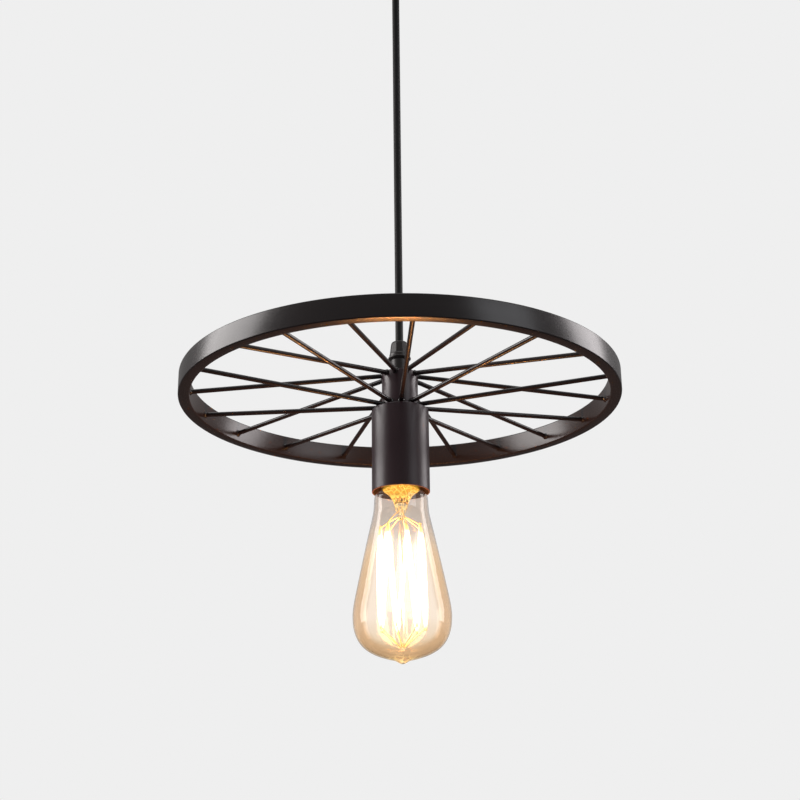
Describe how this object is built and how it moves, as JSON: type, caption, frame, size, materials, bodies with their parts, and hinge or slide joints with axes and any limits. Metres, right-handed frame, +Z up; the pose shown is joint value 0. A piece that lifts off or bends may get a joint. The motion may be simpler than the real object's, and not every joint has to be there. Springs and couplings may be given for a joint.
{
  "type": "wagon wheel pendant lamp",
  "caption": "Pendant lamp: a round spoked wheel hangs level on one cord from a ceiling canopy, with a lampholder cup and a large pear-shaped filament bulb under its hub.",
  "frame": {"origin": "on the ceiling plane, at the middle of the bracket's top face, on the lamp's axis", "axes": "+Z up, along the cord; -Y towards the viewer of the picture; +X to that viewer's right"},
  "size_m": [0.3, 0.3, 0.5741],
  "materials": {
    "black_coat": "satin black-brown powder coat",
    "black_grip": "satin black, turned",
    "black_screw": "black screw finish",
    "zinc": "zinc-plated steel",
    "nickel": "nickel-plated",
    "brass": "plain brass",
    "solder": "solder tip",
    "cord": "black round cable jacket",
    "insert_rubber": "black rubber",
    "block_plastic": "natural white plastic",
    "phenolic": "black phenolic moulding",
    "lead_brown": "brown insulation",
    "lead_blue": "blue insulation",
    "lead_green": "green and yellow insulation",
    "cement": "capping cement",
    "bulb_brass": "bright screw cap",
    "bulb_black_glass": "black glass insulator",
    "bulb_glass": "clear, faint amber",
    "stem_glass": "clear glass",
    "support_wire": "fine metal wire",
    "filament": "glowing filament"
  },
  "bodies": {
    "ceiling": {"ceiling_bracket": "zinc", "canopy": "black_coat", "canopy_screws": "black_screw", "canopy_grip": "black_coat", "canopy_grip_nut": "zinc", "canopy_grip_screw": "black_screw", "cord_tail": "cord", "terminal_block": "block_plastic", "terminal_screws": "brass", "block_screw": "zinc", "earth_screw": "brass", "ceiling_lead_live": "lead_brown", "ceiling_lead_neutral": "lead_blue", "ceiling_lead_earth": "lead_green", "earth_link_lead": "lead_green"},
    "cord_flex": {"cord_bend": "cord"},
    "cord": {"pendant_cord": "cord"},
    "lamp": {"grip_cap": "black_grip", "grip_insert": "insert_rubber", "grip_body": "black_grip", "threaded_nipple": "zinc", "hub_tube": "black_coat", "hub_top_disc": "black_coat", "hub_bottom_disc": "zinc", "upper_spokes": "black_coat", "lower_spokes": "black_coat", "rim": "black_coat", "rim_weld_beads": "black_coat", "hub_weld_beads": "black_coat", "cup": "black_coat", "cup_lock_washer": "zinc", "cup_nut": "zinc", "lampholder_cap": "phenolic", "lampholder_body": "phenolic", "lampholder_screw_shell": "nickel", "lampholder_centre_contact": "brass", "lampholder_terminal_screws": "brass", "lamp_lead_live": "lead_brown", "lamp_lead_neutral": "lead_blue", "lamp_lead_earth": "lead_green"},
    "bulb_seat": {"bulb_contact": "solder"},
    "bulb": {"bulb_cap": "bulb_brass", "bulb_cement": "cement", "bulb_insulator": "bulb_black_glass", "bulb_glass": "bulb_glass", "bulb_stem": "stem_glass", "bulb_upper_supports": "support_wire", "bulb_lower_supports": "support_wire", "bulb_lead_wires": "support_wire", "bulb_filament": "filament"}
  },
  "joints": [
    {"name": "swing_x", "type": "hinge", "parent": "ceiling", "child": "cord_flex", "pos_m": [0, 0, -0.038], "axis": [1, 0, 0], "range_deg": [-20, 20]},
    {"name": "swing_y", "type": "hinge", "parent": "cord_flex", "child": "cord", "pos_m": [0, 0, -0.038], "axis": [0, 1, 0], "range_deg": [-20, 20]},
    {"name": "cord_twist", "type": "hinge", "parent": "cord", "child": "lamp", "pos_m": [0, 0, -0.36], "axis": [0, 0, 1], "range_deg": [-90, 90]},
    {"name": "bulb_travel", "type": "slide", "parent": "lamp", "child": "bulb_seat", "axis": [0, 0, -1], "range_m": [0, 0.0218]},
    {"name": "bulb_turn", "type": "hinge", "parent": "bulb_seat", "child": "bulb", "pos_m": [0, 0, -0.44], "axis": [0, 0, -1], "range_deg": [0, 2160]}
  ],
  "couplings": [
    {"joint": "bulb_travel", "follows": "bulb_turn", "m_per_rad": 0.00057757}
  ]
}
